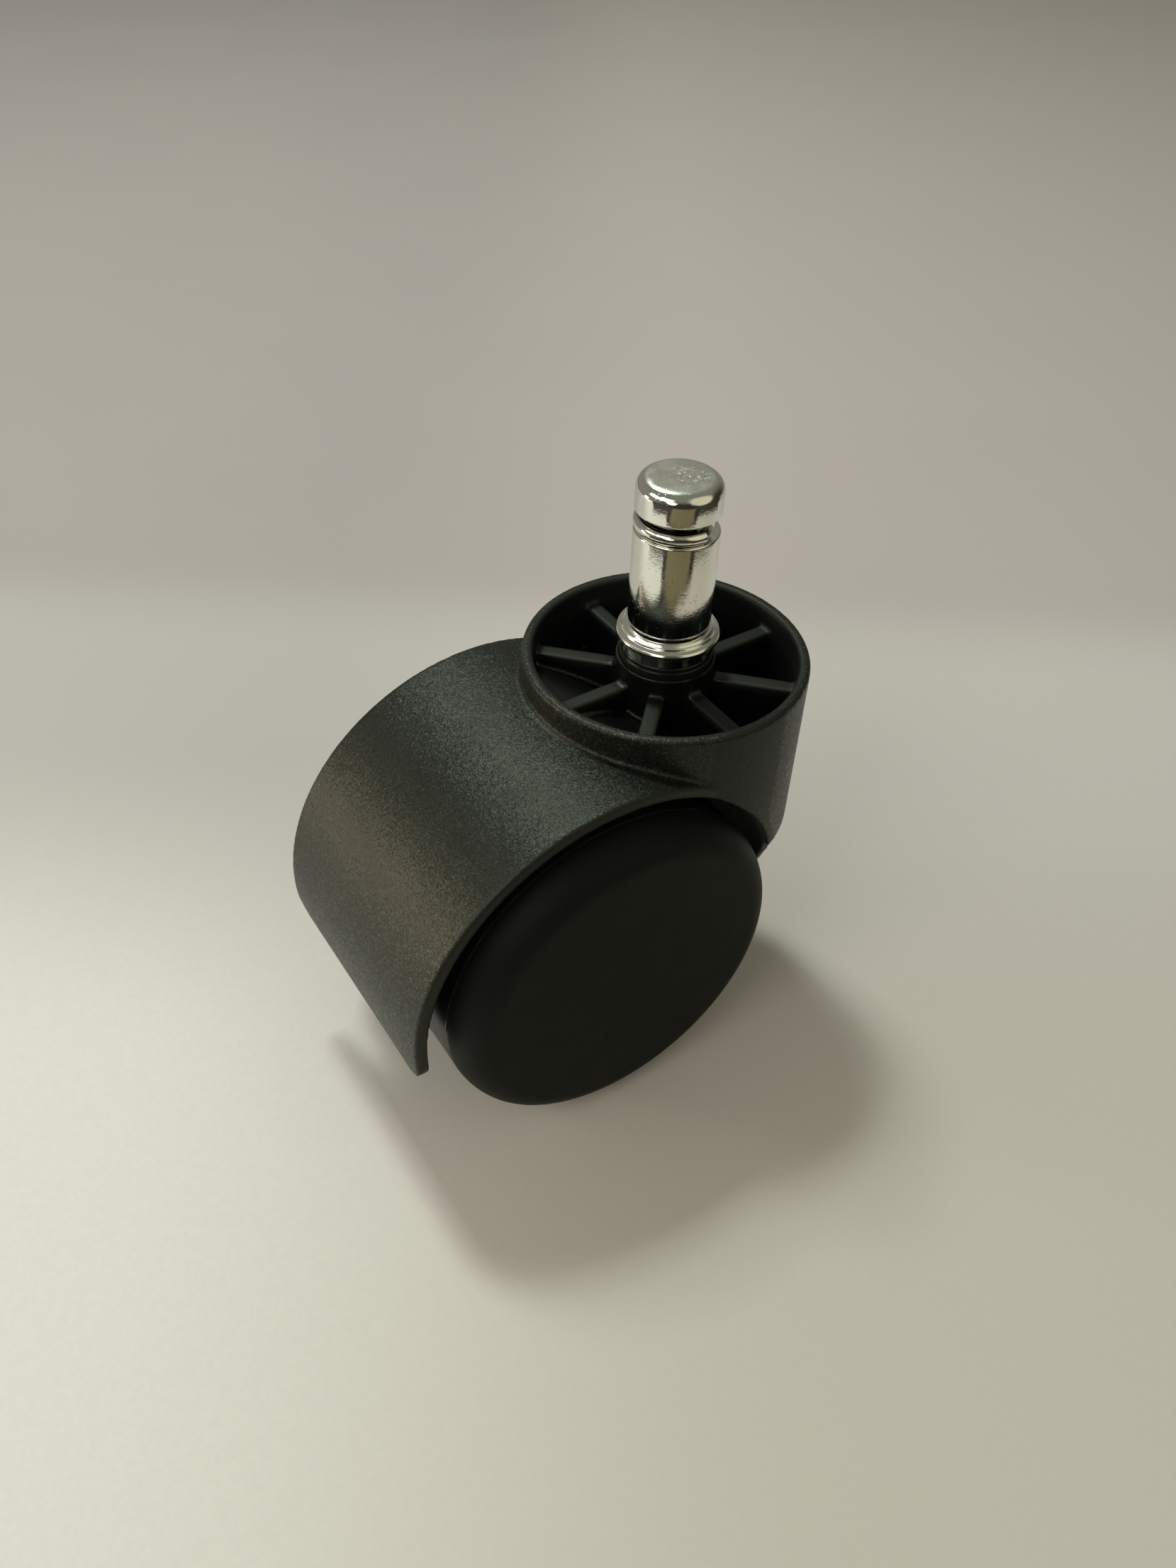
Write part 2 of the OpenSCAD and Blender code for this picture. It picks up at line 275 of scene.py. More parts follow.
class Nodes:
    """Short calls that add nodes to the tree of a material or of the world."""

    def __init__(self, tree, coordinates):
        self.tree = tree
        self.where = self.node("ShaderNodeTexCoord").outputs[coordinates]

    def node(self, kind, **settings):
        node = self.tree.nodes.new(kind)
        for key, value in settings.items():
            setattr(node, key, value)
        return node

    def feed(self, socket, value):
        """Links another node's output to the socket, or sets the socket to a plain value."""
        if isinstance(value, bpy.types.NodeSocket):
            self.tree.links.new(value, socket)
        else:
            socket.default_value = value

    def noise(self, size_mm, detail=2.0, rough=0.5, where=None):
        node = self.node("ShaderNodeTexNoise")
        self.feed(node.inputs["Vector"], where or self.where)
        node.inputs["Scale"].default_value = 1 / (size_mm * MM)
        node.inputs["Detail"].default_value = detail
        node.inputs["Roughness"].default_value = rough
        return node.outputs["Fac"]

    def cells(self, size_mm, feature="F1", output="Distance"):
        node = self.node("ShaderNodeTexVoronoi", feature=feature)
        self.feed(node.inputs["Vector"], self.where)
        node.inputs["Scale"].default_value = 1 / (size_mm * MM)
        return node.outputs[output]

    def stretch(self, sx, sy, sz):
        """The coordinates scaled by axis, which stretches a texture the other way."""
        node = self.node("ShaderNodeMapping")
        self.feed(node.inputs["Vector"], self.where)
        node.inputs["Scale"].default_value = (sx, sy, sz)
        return node.outputs["Vector"]

    def span(self, value, low, high, to_low=0.0, to_high=1.0):
        """A smooth step from to_low at low to to_high at high."""
        node = self.node("ShaderNodeMapRange", interpolation_type="SMOOTHSTEP")
        for key, x in zip(("Value", "From Min", "From Max", "To Min", "To Max"),
                          (value, low, high, to_low, to_high), strict=True):
            self.feed(node.inputs[key], x)
        return node.outputs["Result"]

    def calc(self, operation, a, b=0.0):
        """A Math node on numbers or sockets."""
        node = self.node("ShaderNodeMath", operation=operation)
        self.feed(node.inputs[0], a)
        self.feed(node.inputs[1], b)
        return node.outputs[0]

    def mix(self, fac, a, b):
        """A colour from a to b."""
        node = self.node("ShaderNodeMix", data_type="RGBA")
        self.feed(node.inputs["Factor"], fac)
        for socket, colour in ((node.inputs[6], a), (node.inputs[7], b)):
            self.feed(socket, colour if isinstance(colour, bpy.types.NodeSocket) else (*colour, 1))
        return node.outputs[2]

    def coordinate(self, axis):
        node = self.node("ShaderNodeSeparateXYZ")
        self.feed(node.inputs[0], self.where)
        return node.outputs[axis]

    def distance(self, x, y, z, where=None):
        node = self.node("ShaderNodeVectorMath", operation="DISTANCE")
        self.feed(node.inputs[0], where or self.where)
        node.inputs[1].default_value = (x * MM, y * MM, z * MM)
        return node.outputs["Value"]

    def toward(self, way):
        """How far the coordinates go along a direction."""
        node = self.node("ShaderNodeVectorMath", operation="DOT_PRODUCT")
        self.feed(node.inputs[0], self.where)
        node.inputs[1].default_value = way
        return node.outputs["Value"]

    def painted(self, name):
        """A mesh attribute made by attribute()."""
        return self.node("ShaderNodeAttribute", attribute_name=name).outputs["Fac"]

    def bump(self, height, depth_mm, strength=1.0, under=None):
        node = self.node("ShaderNodeBump")
        self.feed(node.inputs["Height"], height)
        self.feed(node.inputs["Strength"], strength)
        node.inputs["Distance"].default_value = depth_mm * MM
        if under is not None:
            self.feed(node.inputs["Normal"], under)
        return node.outputs["Normal"]

    def facets(self, size_mm, tilt, normal):
        """The normal, tilted at random in each small cell, as spark-eroded grain does."""
        turn = self.node("ShaderNodeVectorMath", operation="MULTIPLY_ADD")
        self.feed(turn.inputs[0], self.cells(size_mm, output="Color"))
        turn.inputs[1].default_value = (2.0, 2.0, 2.0)
        turn.inputs[2].default_value = (-1.0, -1.0, -1.0)
        scaled = self.node("ShaderNodeVectorMath", operation="SCALE")
        self.feed(scaled.inputs[0], turn.outputs[0])
        self.feed(scaled.inputs["Scale"], tilt)
        add = self.node("ShaderNodeVectorMath", operation="ADD")
        self.feed(add.inputs[0], normal)
        self.feed(add.inputs[1], scaled.outputs[0])
        unit = self.node("ShaderNodeVectorMath", operation="NORMALIZE")
        self.feed(unit.inputs[0], add.outputs[0])
        return unit.outputs[0]


class Look(Nodes):
    """A Principled material. Underscores in socket names stand for spaces."""

    def __init__(self, name, **values):
        self.material = bpy.data.materials.new(name)
        self.material.use_nodes = True
        super().__init__(self.material.node_tree, "Object")
        self.shader = self.tree.nodes["Principled BSDF"]
        for socket, value in values.items():
            self.shader.inputs[socket.replace("_", " ")].default_value = value

    def use(self, **sockets):
        for socket, value in sockets.items():
            self.feed(self.shader.inputs[socket.replace("_", " ")], value)
        return self.material


def wear(piece, material):
    """The piece takes this material and no other."""
    piece.data.materials.clear()
    piece.data.materials.append(material)


# ---- Materials ----


def hood_nylon():
    """Black nylon, steered by three painted attributes.

    grain: 1 on spark-eroded faces, 0 on plain moulded skin
    deep: 1 where the cup lets in little light; the base colour is darkened there as painted shade
    pocket: 1 on the smooth skin of the cup's pockets
    """
    look = Look("hood_nylon", IOR=1.5, Specular_IOR_Level=0.38)
    look.shader.inputs["Specular Tint"].default_value = (0.92, 1.0, 0.84, 1)
    deep = look.painted("deep")
    grain = look.painted("grain")
    pits = look.span(look.cells(0.27, "SMOOTH_F1"), 0.08, 0.7)
    fine = look.noise(0.14, 2.0, 0.6)
    bumps = look.calc("MULTIPLY", fine, 1.2)
    height = look.calc("SUBTRACT", bumps, look.calc("MULTIPLY", pits, 0.8))
    patches = look.noise(9.0, 3.0)
    # the grain's peaks are lighter in colour: partly wear, partly painted sparkle
    peak = look.span(height, -0.1, 0.45)
    dark = look.mix(patches, (0.0036, 0.0042, 0.0033), (0.0050, 0.0056, 0.0045))
    light = look.mix(patches, (0.0085, 0.0100, 0.0080), (0.0120, 0.0132, 0.0105))
    # painted glints: random grain cells lightened in the base colour, and made a little smoother
    # too
    painted_glint_cells = look.span(look.cells(GRAIN_CELL, output="Color"), 0.70, 0.95)
    grained = look.mix(peak, dark, light)
    textured = look.mix(look.calc("MULTIPLY", painted_glint_cells, 0.8), grained, (0.036, 0.039, 0.031))
    plain = look.mix(look.noise(2.5, 4.0), (0.0046, 0.0054, 0.0048), (0.0076, 0.0084, 0.0076))
    # painted shade: the skin's colour goes near-black where deep is 1, in the cup's recesses
    painted_shade_skin = look.mix(deep, plain, (0.0016, 0.0018, 0.0016))
    uneven = look.span(patches, 0.3, 0.7, 0.38, 0.43)
    worn = look.calc("SUBTRACT", uneven, look.calc("MULTIPLY", painted_glint_cells, 0.14))
    matt = look.span(deep, 0.0, 1.0, 0.56, 0.80)
    smooth = look.span(look.painted("pocket"), 0.0, 1.0, matt, 0.34)
    rough = look.span(grain, 0.0, 1.0, smooth, worn)
    skin_bump = look.bump(look.noise(0.18, 2.0, 0.6), 0.034, 0.8)
    grain_bump = look.bump(height, 0.026, grain, skin_bump)
    sparkle = look.facets(GRAIN_CELL, look.calc("MULTIPLY", grain, 0.13), grain_bump)
    return look.use(Base_Color=look.mix(grain, painted_shade_skin, textured), Roughness=rough, Normal=sparkle)


def wheel_nylon():
    """Black nylon wheel: fine matt texture on the face, smooth tread, a few pale scuffs."""
    look = Look("wheel_nylon", IOR=1.5, Specular_IOR_Level=0.10)
    look.shader.inputs["Specular Tint"].default_value = (0.90, 1.0, 0.90, 1)
    face = look.painted("face")
    seam = look.painted("seam")
    fine = look.noise(0.16, 3.0, 0.6)
    cloud = look.noise(6.0, 4.0)
    scratch_field = look.noise(1.1, 2.0, 0.5, look.stretch(0.25, 1.0, 2.6))
    spots = look.span(look.noise(2.3, 1.0), 0.69, 0.74)
    scratches = look.span(scratch_field, 0.55, 0.62)
    scuff = look.calc("MULTIPLY", look.calc("SUBTRACT", spots, face), scratches)
    base = look.mix(cloud, (0.0060, 0.0070, 0.0060), (0.0090, 0.0098, 0.0084))
    marked = look.mix(look.calc("MAXIMUM", scuff, 0.0), base, (0.033, 0.033, 0.030))
    edged = look.mix(look.calc("MULTIPLY", seam, look.noise(0.9, 2.0)), marked, (0.05, 0.05, 0.045))
    rough = look.span(face, 0.0, 1.0, 0.27, 0.50)
    worn = look.calc("ADD", rough, look.span(cloud, 0.3, 0.7, -0.03, 0.04))
    bump = look.bump(fine, 0.045, look.span(face, 0.0, 1.0, 0.10, 0.9))
    return look.use(Base_Color=edged, Roughness=worn, Normal=bump)


def plated_steel():
    """Bright plating over turned steel: pits, a slight waviness, and a frosted head top."""
    look = Look("plated_steel", Metallic=1.0)
    frost = look.span(look.coordinate("Z"), (STEM_TOP - 0.32) * MM, (STEM_TOP - 0.01) * MM)
    waves = look.noise(1.5, 3.0, 0.6, look.stretch(1.0, 1.0, 0.45))
    hammer = look.noise(0.38, 3.0, 0.65)
    speck = look.span(look.cells(0.50), 0.07, 0.17)
    pit_field = look.span(look.noise(1.6, 2.0), 0.47, 0.60, 1.0, 0.0)
    pits = look.calc("MAXIMUM", speck, pit_field)
    clean = look.mix(look.noise(4.0, 3.0), (0.80, 0.79, 0.72), (0.88, 0.88, 0.83))
    radius = look.distance(0, 0, 0, look.stretch(1.0, 1.0, 0.0))
    height = look.coordinate("Z")
    inside = look.span(radius, 4.9 * MM, 5.3 * MM, 1.0, 0.0)
    groove = look.calc("MULTIPLY", inside, look.span(height, 14.1 * MM, 14.6 * MM))
    # painted shade: the groove under the head is darkened in the base colour
    painted_groove_shade = look.calc("MULTIPLY", groove, look.span(height, 16.8 * MM, 17.2 * MM, 0.85, 0.0))
    painted_shade_in_groove = look.mix(painted_groove_shade, clean, (0.10, 0.10, 0.09))
    pitted = look.mix(pits, (0.22, 0.21, 0.17), painted_shade_in_groove)
    # painted glints: in a patch on the head's top, flakes brighten the base colour; the same patch
    # also tilts the facets
    patch = look.span(look.distance(1.1, -0.7, STEM_TOP), 1.6 * MM, 3.2 * MM, 1.0, 0.12)
    sparkling = look.calc("MULTIPLY", patch, look.span(look.noise(0.8, 2.0), 0.35, 0.6, 0.3, 1.0))
    flakes = look.span(look.cells(GRAIN_CELL, output="Color"), 0.60, 0.95)
    painted_glint_cells = look.calc("MULTIPLY", flakes, sparkling)
    frosted = look.mix(painted_glint_cells, (0.80, 0.78, 0.72), (0.95, 0.95, 0.93))
    smear = look.span(look.noise(2.2, 4.0, 0.6), 0.35, 0.7, 0.03, 0.09)
    softer = look.calc("ADD", smear, look.span(height, 0.0, 0.4 * MM, 0.11, 0.0))
    rough = look.calc("ADD", softer, look.calc("MULTIPLY", frost, 0.27))
    waved = look.bump(waves, 0.026, 0.6)
    hammered = look.bump(hammer, 0.013, 0.8, waved)
    dented = look.bump(pits, 0.02, 0.6, hammered)
    tilt = look.calc("MULTIPLY", frost, look.calc("MULTIPLY", sparkling, 0.22))
    frosty = look.facets(GRAIN_CELL, tilt, dented)
    return look.use(Base_Color=look.mix(frost, pitted, frosted), Roughness=rough, Normal=frosty)


def spring_steel():
    """Drawn steel with fine lines, for the pins and wire rings inside."""
    look = Look("spring_steel", Metallic=1.0)
    lines = look.noise(0.5, 4.0, 0.6, look.stretch(1.0, 0.15, 1.0))
    base = look.mix(lines, (0.36, 0.36, 0.35), (0.58, 0.58, 0.56))
    rough = look.span(lines, 0.3, 0.7, 0.22, 0.38)
    return look.use(Base_Color=base, Roughness=rough, Normal=look.bump(lines, 0.01, 0.6))


def acetal():
    """The smooth black bearing plastic of the sleeve."""
    look = Look("acetal", IOR=1.48)
    cloud = look.noise(1.5, 3.0)
    base = look.mix(cloud, (0.006, 0.0062, 0.0065), (0.011, 0.011, 0.0115))
    rough = look.span(cloud, 0.3, 0.7, 0.17, 0.27)
    bump = look.bump(look.noise(0.2, 2.0), 0.006, 0.5)
    return look.use(Base_Color=base, Roughness=rough, Normal=bump)


def paper():
    """Pale paper with painted light and shade: brightest on the left near the camera, greyer beyond
    a faint crease.
    """
    look = Look("paper", Roughness=0.9)
    fibre = look.noise(0.9, 5.0, 0.65)
    cloud = look.noise(60.0, 3.0)
    x, y = look.coordinate("X"), look.coordinate("Y")
    ax, ay = AWAY
    away = look.calc("ADD", look.calc("MULTIPLY", x, ax), look.calc("MULTIPLY", y, ay))
    left = look.calc("SUBTRACT", look.calc("MULTIPLY", y, ax), look.calc("MULTIPLY", x, ay))
    # painted light and shade: the floor's colour is brighter on the left and near the camera, and
    # darker beyond the crease
    side = look.span(left, -25 * MM, 80 * MM)
    near = look.mix(side, (0.63, 0.575, 0.52), (0.86, 0.83, 0.80))
    level = look.mix(side, (0.65, 0.61, 0.595), (0.54, 0.51, 0.50))
    middle = look.mix(look.span(away, -30 * MM, 45 * MM), near, level)
    beyond = look.mix(side, (0.54, 0.475, 0.475), (0.44, 0.395, 0.40))
    tone = look.mix(look.span(away, 75 * MM, 110 * MM), middle, beyond)
    clouded = look.mix(look.calc("MULTIPLY", cloud, 0.12), tone, (0.70, 0.66, 0.62))
    speckled = look.mix(look.span(fibre, 0.3, 0.7, 0.0, 0.10), clouded, (0.52, 0.50, 0.47))
    return look.use(Base_Color=speckled, Normal=look.bump(fibre, 0.03, 0.25))


PLATED = plated_steel()
STEEL = spring_steel()
HOOD = hood_nylon()
WHEEL = wheel_nylon()
ACETAL = acetal()


# ---- Stem ----


def build_stem():
    """The turned stem: a round head, then groove, shank, collar and pintle down to its tip."""
    g0, g1 = GROOVE
    round_r, round_z = STEM_R - HEAD_ROUND, STEM_TOP - HEAD_ROUND
    head = [(0, STEM_TOP), (1.7, STEM_TOP)]
    for k in range(13):
        a = math.radians(90 * k / 12)
        head.append((round_r + HEAD_ROUND * math.sin(a), round_z + HEAD_ROUND * math.cos(a)))
    below = rounded([
        (STEM_R, round_z, 0),
        (STEM_R, g1, 0.35),
        (GROOVE_R + 0.5, g1 - 0.02, 0.4),
        (GROOVE_R, g1 - 0.8, 0.3),
        (GROOVE_R, g0 + 0.8, 0.3),
        (GROOVE_R + 0.5, g0 + 0.02, 0.4),
        (STEM_R, g0, 0.3),
        (STEM_R, 0.9, 0.1),
        (STEM_R - 0.08, 0.55, 0.2),
        (STEM_R - 0.05, 0.0, 0.2),
        (5.75, -0.02, 0.1),
        (6.0, -0.30, 0.15),
        (6.12, -0.32, 0.1),
        (6.25, -0.62, 0.2),
        (COLLAR_R - 0.15, COLLAR_EDGE + 0.22, 0.15),
        (COLLAR_R, COLLAR_EDGE - 0.05, 0.15),
        (COLLAR_R, COLLAR_EDGE - 0.6, 0.25),
        (6.2, COLLAR_EDGE - 1.05, 0.3),
        (6.2, COLLAR_END, 0.15),
        (PINTLE_R, COLLAR_END, 0.1),
        (PINTLE_R, PINTLE_GROOVE[1], 0.1),
        (PINTLE_GROOVE_R, PINTLE_GROOVE[1], 0.1),
        (PINTLE_GROOVE_R, PINTLE_GROOVE[0], 0.1),
        (PINTLE_R, PINTLE_GROOVE[0], 0.1),
        (PINTLE_R, PINTLE_END + 1.5, 0.3),
        (PINTLE_R - 1.0, PINTLE_END + 0.5, 0.3),
        (1.5, PINTLE_END, 0.5),
        (0, PINTLE_END, 0),
    ])
    piece = lathe("stem_turned", head + below[1:])
    wear(piece, PLATED)
    smooth_shade(piece, 50)
    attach(piece, "stem_assembly")
    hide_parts("stem")


def build_grip_ring():
    """The sprung wire ring, its two ends cut square with a small chamfer."""
    sides, steps = 32, 180
    start = math.radians(GRIP_GAP_AT + GRIP_GAP / 2)
    sweep = math.radians(360 - GRIP_GAP)
    chamfer = 0.12
    stations = [(0.0, GRIP_WIRE_R - chamfer), (chamfer / GRIP_PATH_R, GRIP_WIRE_R)]
    stations += [(sweep * k / steps, GRIP_WIRE_R) for k in range(2, steps - 1)]
    stations += [(sweep - chamfer / GRIP_PATH_R, GRIP_WIRE_R), (sweep, GRIP_WIRE_R - chamfer)]
    verts, faces = [], []
    for turn, radius in stations:
        a = start + turn
        for k in range(sides):
            b = 2 * math.pi * k / sides
            r = GRIP_PATH_R + radius * math.cos(b)
            verts.append((r * math.cos(a), r * math.sin(a), GRIP_Z + radius * math.sin(b)))
    for i in range(len(stations) - 1):
        for k in range(sides):
            m = (k + 1) % sides
            faces.append((i * sides + k, i * sides + m, (i + 1) * sides + m, (i + 1) * sides + k))
    faces.append(tuple(range(sides)))
    faces.append(tuple(range((len(stations) - 1) * sides, len(stations) * sides)))
    piece = new_piece("grip_ring_wire", verts, faces)
    wear(piece, PLATED)
    smooth_shade(piece, 40)
    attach(piece, "stem_assembly")
    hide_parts("grip_ring")


def build_sleeve():
    """The flanged sleeve that the pintle turns in."""
    line = rounded([
        (SLEEVE_BORE, SLEEVE_END, 0),
        (SLEEVE_R, SLEEVE_END, 0.3),
        (SLEEVE_R, FLANGE[0], 0.05),
        (FLANGE_R, FLANGE[0], 0.1),
        (FLANGE_R, FLANGE[1] - 0.75, 0.1),
        (FLANGE_R - 0.15, FLANGE[1] - 0.7, 0.06),
        (FLANGE_R - 0.15, FLANGE[1], 0.25),
        (SLEEVE_BORE, FLANGE[1], 0.2),
        (SLEEVE_BORE, SLEEVE_END + 1.0, 0),
    ])
    piece = lathe("swivel_sleeve_moulding", line, 192)
    wear(piece, ACETAL)
    smooth_shade(piece, 40)
    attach(piece, "housing")
    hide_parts("swivel_sleeve")


# ---- Hood ----


def build_hood():
    """The CAD hood with every edge softened, as on a real moulding."""
    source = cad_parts["hood"]
    piece = bpy.data.objects.new("hood_moulding", source.data.copy())
    scene.collection.objects.link(piece)
    mend_normals(piece)
    skin = piece.modifiers.new("skin", "REMESH")
    skin.mode = "VOXEL"
    skin.voxel_size = VOXEL * MM
    soften = piece.modifiers.new("soften", "SMOOTH")
    soften.factor = 0.5
    soften.iterations = 3
    thin = piece.modifiers.new("thin", "DECIMATE")
    thin.ratio = KEEP_FACES
    apply_modifiers(piece)
    p = points_mm(piece)
    from_stem = np.hypot(p[:, 0], p[:, 1])
    from_arch = np.hypot(p[:, 0] - ARCH_CENTRE[0], p[:, 2] - ARCH_CENTRE[1])
    outside_cup = ramp_up(from_stem, CUP_R - 0.55, CUP_R - 0.2) * (p[:, 2] < RIM_Z - 0.1)
    on_arch = ramp_up(from_arch, ARCH_R - 0.6, ARCH_R - 0.15) * (from_stem > CUP_R - 0.9)
    on_arch *= ramp_up(ARCH_HALF - np.abs(p[:, 1]), 0.1, 0.5)
    on_cup = outside_cup * (from_arch > ARCH_R - 2.5)
    attribute(piece, "grain", np.maximum(on_arch, on_cup * 0.4))
    # deep marks the cup's recesses below the rib tops and round the boss, where the hood material
    # paints shade into the colour and makes the skin more matt
    in_cup = 1 - ramp_up(from_stem, CUP_R - CUP_WALL - 0.2, CUP_R - CUP_WALL + 0.2)
    below_ribs = 1 - ramp_up(p[:, 2], RIB_TOP - 1.4, RIB_TOP - 0.2)
    on_boss = 0.8 * (1 - ramp_up(from_stem, 7.9, 8.6))
    deep = in_cup * np.maximum(below_ribs, on_boss)
    attribute(piece, "deep", deep)
    attribute(piece, "pocket", deep * ramp_up(from_arch, ARCH_R - 1.3, ARCH_R - 0.5))
    wear(piece, HOOD)
    smooth_shade(piece, 60)
    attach(piece, "housing")
    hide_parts("hood")


# ---- Wheels ----


def wheel_line():
    """The wheel's half-section as (r, distance from the middle plane), without its ribs."""
    face = WHEEL_OUT - FACE_DOME
    flat = WHEEL_R - SHOULDER[0]
    dome_r = (flat * flat + FACE_DOME * FACE_DOME) / (2 * FACE_DOME)
    tread = WHEEL_R - TREAD_IN
    seam = face - SHOULDER[1]
    outer = [(0.0, WHEEL_OUT)]
    for r in (3, 6, 9, 12, 15, 18, flat - 0.6):
        outer.append((r, WHEEL_OUT - dome_r + math.sqrt(dome_r * dome_r - r * r)))
    for k in range(19):
        a = math.radians(90 - 90 * k / 18)
        r = tread - SHOULDER[0] + SHOULDER[0] * math.cos(a)
        outer.append((r, seam + SHOULDER[1] * math.sin(a)))
    ridge = WHEEL_R - SEAM_IN
    outer += [(tread, seam + 0.16), (ridge, seam + 0.05)]
    outer += [(ridge, seam - 0.05), (tread, seam - 0.16)]
    outer.sort(key=lambda p: -p[1])
    floor = face - WHEEL_WALL
    inner = rounded([
        (tread, seam - 0.5, 0),
        (tread, WHEEL_IN, 0.8),
        (WHEEL_R - WHEEL_WALL, WHEEL_IN, 0.25),
        (WHEEL_R - WHEEL_WALL, floor - CAVITY_STEP, 0.6),
        (WHEEL_R - WHEEL_WALL - CAVITY_STEP, floor, 0.8),
        (HUB_R, floor, 0.8),
        (HUB_R, WHEEL_IN, 0.3),
        (HUB_BORE, WHEEL_IN, 0.3),
        (HUB_BORE, CLIP_SEAT[0], 0.05),
        (CLIP_SEAT_R, CLIP_SEAT[0], 0.05),
        (CLIP_SEAT_R, CLIP_SEAT[1], 0.05),
        (HUB_BORE, CLIP_SEAT[1], 0.05),
        (HUB_BORE, BORE_END, 0.1),
        (0, BORE_END, 0),
    ], 4)
    return outer + inner


def build_wheels():
    """Both wheels from one turned body with ribs: the left is the right, turned about X."""
    line = wheel_line()
    random.seed(7)
    phases = [random.uniform(0, 2 * math.pi) for _ in range(12)]
    ridge = [i for i, (r, z) in enumerate(line) if abs(r - (WHEEL_R - SEAM_IN)) < 1e-6]

    def ragged(i, angle):
        """The moulding seam is worn unevenly round the wheel."""
        if i not in ridge:
            return 0.0
        wave = sum(math.sin((9 + 7 * k) * angle + phase) for k, phase in enumerate(phases))
        return -SEAM_RAGGED * (1 + max(-1.0, min(1.0, wave / 4)))

    right = lathe("wheel_right_moulding", line, 288, ragged)
    ribs = []
    depth_end = WHEEL_OUT - FACE_DOME - WHEEL_WALL + 0.6
    rib_low = (HUB_R - 0.5, -WHEEL_RIB_T / 2, RIB_FROM)
    rib_high = (WHEEL_R - WHEEL_WALL + 0.5, WHEEL_RIB_T / 2, depth_end)
    for k in range(WHEEL_RIBS):
        rib = block("rib", rib_low, rib_high)
        rib.data.transform(Matrix.Rotation(2 * math.pi * k / WHEEL_RIBS, 4, "Z"))
        ribs.append(rib)
    near, far = MID_RING
    section = [(near, RIB_FROM), (far, RIB_FROM), (far, depth_end), (near, depth_end)]
    ring = lathe("ring", section, 144)
    fuse(ring, join(ribs))
    fuse(right, ring)
    p = points_mm(right)
    seam_at = WHEEL_OUT - FACE_DOME - SHOULDER[1]
    attribute(right, "face", ramp_up(p[:, 2], seam_at - 0.1, seam_at + 0.9))
    near_rim = np.hypot(p[:, 0], p[:, 1]) > WHEEL_R - 0.3
    attribute(right, "seam", near_rim * (1 - ramp_up(np.abs(p[:, 2] - seam_at), 0.04, 0.17)))
    left = bpy.data.objects.new("wheel_left_moulding", right.data.copy())
    scene.collection.objects.link(left)
    to_axle = Matrix.Translation(Vector((AXLE[0], 0, AXLE[1])) * MM)
    for piece, turn, body, node in (
        (right, math.radians(90), "right_wheel", "wheel_right"),
        (left, math.radians(-90), "left_wheel", "wheel_left"),
    ):
        piece.data.transform(to_axle @ Matrix.Rotation(turn, 4, "X"))
        wear(piece, WHEEL)
        smooth_shade(piece, 38)
        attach(piece, body)
        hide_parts(node)


build_stem()
build_grip_ring()
build_sleeve()
build_hood()
build_wheels()
for name in ("pintle_ring", "thrust_pad", "axle", "axle_ring_left", "axle_ring_right"):
    wear(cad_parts[name], STEEL)

# ---- Floor, light and camera ----

square = [(-FLOOR_HALF, -FLOOR_HALF), (FLOOR_HALF, -FLOOR_HALF)]
square += [(FLOOR_HALF, FLOOR_HALF), (-FLOOR_HALF, FLOOR_HALF)]
floor = new_piece("floor", [(x, y, FLOOR_Z) for x, y in square], [(0, 1, 2, 3)])
wear(floor, paper())


def reflected(name, verts, faces, colour, grain_mm):
    """A surface just above the floor that only shows in reflections, mostly on plated steel."""
    look = Look(name, Roughness=0.8)
    darker, lighter = (tuple(k * c for c in colour) for k in (0.75, 1.25))
    tone = look.mix(look.noise(grain_mm, 3.0), darker, lighter)
    card = new_piece(name, verts, faces)
    wear(card, look.use(Base_Color=tone))
    for ray in ("camera", "diffuse", "shadow", "transmission", "volume_scatter"):
        setattr(card, "visible_" + ray, False)


def build_desk():
    """The dark desk round the paper on the camera's side."""
    verts, faces = [], []
    for k in range(37):
        a = math.radians(165 + 180 * k / 36)
        for r in (DESK_FROM, FLOOR_HALF):
            verts.append((r * math.cos(a), r * math.sin(a), FLOOR_Z + 0.4))
    for k in range(36):
        faces.append((2 * k, 2 * k + 1, 2 * k + 3, 2 * k + 2))
    reflected("desk", verts, faces, (0.035, 0.028, 0.02), 30.0)


def build_sheet():
    """A tan sheet that points at the caster from the camera's side, with dark edges."""
    outer = [(-58, -76), (-86, -68), (-103, -60), (-120, -48), (-162, -82), (-260, -170)]
    outer += [(110, -290), (62, -190), (22, -128), (-4, -119), (-32, -109), (-50, -92)]
    inner = [(-70, -85), (-94, -73), (-113, -65), (-140, -96), (-240, -190)]
    inner += [(12, -300), (6, -160), (3, -131), (-25, -117), (-49, -103)]
    for name, outline, lift, colour in (
        ("sheet_edge", outer, 0.6, (0.02, 0.017, 0.012)),
        ("sheet", inner, 0.8, (0.20, 0.165, 0.09)),
    ):
        verts = [(x, y, FLOOR_Z + lift) for x, y in outline]
        reflected(name, verts, [tuple(range(len(outline)))], colour, 12.0)


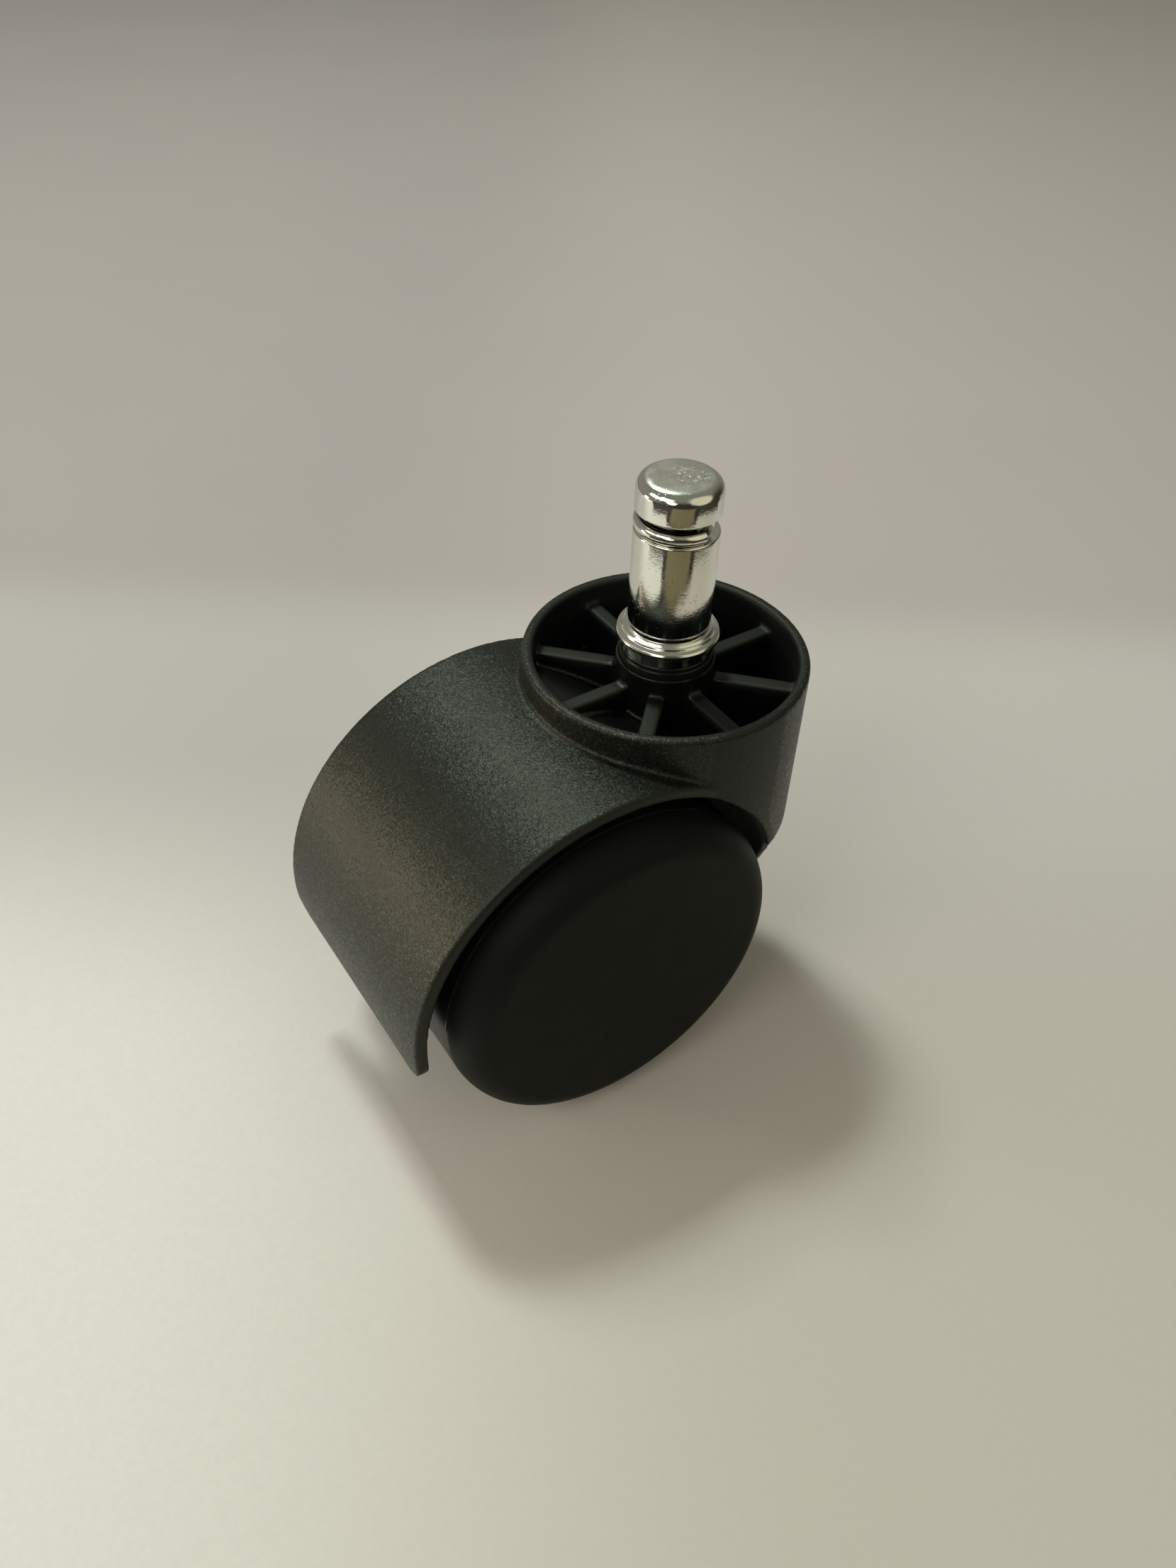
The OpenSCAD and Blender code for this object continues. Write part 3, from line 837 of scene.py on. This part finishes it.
def build_backdrop():
    """A pale wall far round the floor, seen only by the camera: low views end in a plain tone."""
    look = Look("backdrop", Roughness=1.0)
    tone = look.mix(look.noise(400.0, 3.0), (0.27, 0.26, 0.235), (0.33, 0.32, 0.295))
    verts, faces = [], []
    for k in range(48):
        a = 2 * math.pi * k / 48
        x, y = BACKDROP_R * math.cos(a), BACKDROP_R * math.sin(a)
        verts += [(x, y, FLOOR_Z), (x, y, BACKDROP_TOP)]
        m = (k + 1) % 48
        faces.append((2 * k, 2 * m, 2 * m + 1, 2 * k + 1))
    wall = new_piece("backdrop", verts, faces)
    wear(wall, look.use(Base_Color=(0, 0, 0, 1), Emission_Color=tone, Emission_Strength=1.0))
    for ray in ("diffuse", "glossy", "shadow", "transmission", "volume_scatter"):
        setattr(wall, "visible_" + ray, False)


build_desk()
build_sheet()
build_backdrop()


def direction(azimuth, elevation):
    a, e = math.radians(azimuth), math.radians(elevation)
    return Vector((math.cos(a) * math.cos(e), math.sin(a) * math.cos(e), math.sin(e)))


def softbox(name, azimuth, elevation, distance, width, height, watts, colour):
    """A soft area lamp that aims at the caster. Azimuth is counted from +X towards +Y."""
    out = direction(azimuth, elevation)
    data = bpy.data.lights.new(name, "AREA")
    data.shape = "DISK" if width == height else "RECTANGLE"
    data.size, data.size_y = width * MM, height * MM
    data.energy = watts
    data.color = colour
    lamp = bpy.data.objects.new(name, data)
    lamp.location = Vector(AIM) * MM + out * distance * MM
    lamp.rotation_euler = out.to_track_quat("Z", "Y").to_euler()
    lamp.visible_camera = False
    scene.collection.objects.link(lamp)


softbox("key", 91, 61, 900, 120, 200, 2.5, (0.99, 0.99, 0.95))
softbox("glint", 83, 64, 900, 100, 80, 1.45, (0.78, 1.0, 0.87))
softbox("near_left", 195, 42, 620, 300, 260, 0.78, (1.0, 0.98, 0.90))
softbox("left", 160, 35, 900, 420, 300, 0.6, (0.98, 1.0, 0.86))
softbox("warm_side", 145, 3, 620, 90, 60, 0.98, (1.0, 0.83, 0.61))
softbox("round", 214, 25, 900, 380, 380, 0.5, (1.0, 1.0, 0.97))


def build_room():
    """A dim room: pale behind the caster, darker and browner on the camera's side."""
    world = bpy.data.worlds.new("room")
    scene.world = world
    world.use_nodes = True
    nodes = Nodes(world.node_tree, "Generated")
    behind = nodes.span(nodes.toward((-0.17, 0.98, 0.0)), -0.4, 0.5)
    up = nodes.span(nodes.toward((0.0, 0.0, 1.0)), 0.25, 0.8)
    window = nodes.span(nodes.toward(direction(WINDOW_AZIMUTH, WINDOW_ELEVATION)), 0.82, 0.93)
    sides = nodes.mix(behind, (0.035, 0.029, 0.022), (0.22, 0.215, 0.185))
    ceiling = nodes.mix(up, sides, (0.19, 0.197, 0.155))
    colour = nodes.mix(window, ceiling, (0.64, 0.60, 0.44))
    nodes.feed(world.node_tree.nodes["Background"].inputs["Color"], colour)


build_room()

camera = bpy.data.objects.new("camera", bpy.data.cameras.new("camera"))
scene.collection.objects.link(camera)
scene.camera = camera
camera.location = Vector(CAMERA_AT) * MM
camera.rotation_euler = [math.radians(a) for a in CAMERA_TURN]
camera.data.sensor_width = 36.0
camera.data.lens = CAMERA_LENS
camera.data.clip_start = 0.005
scene.view_settings.view_transform = "Standard"
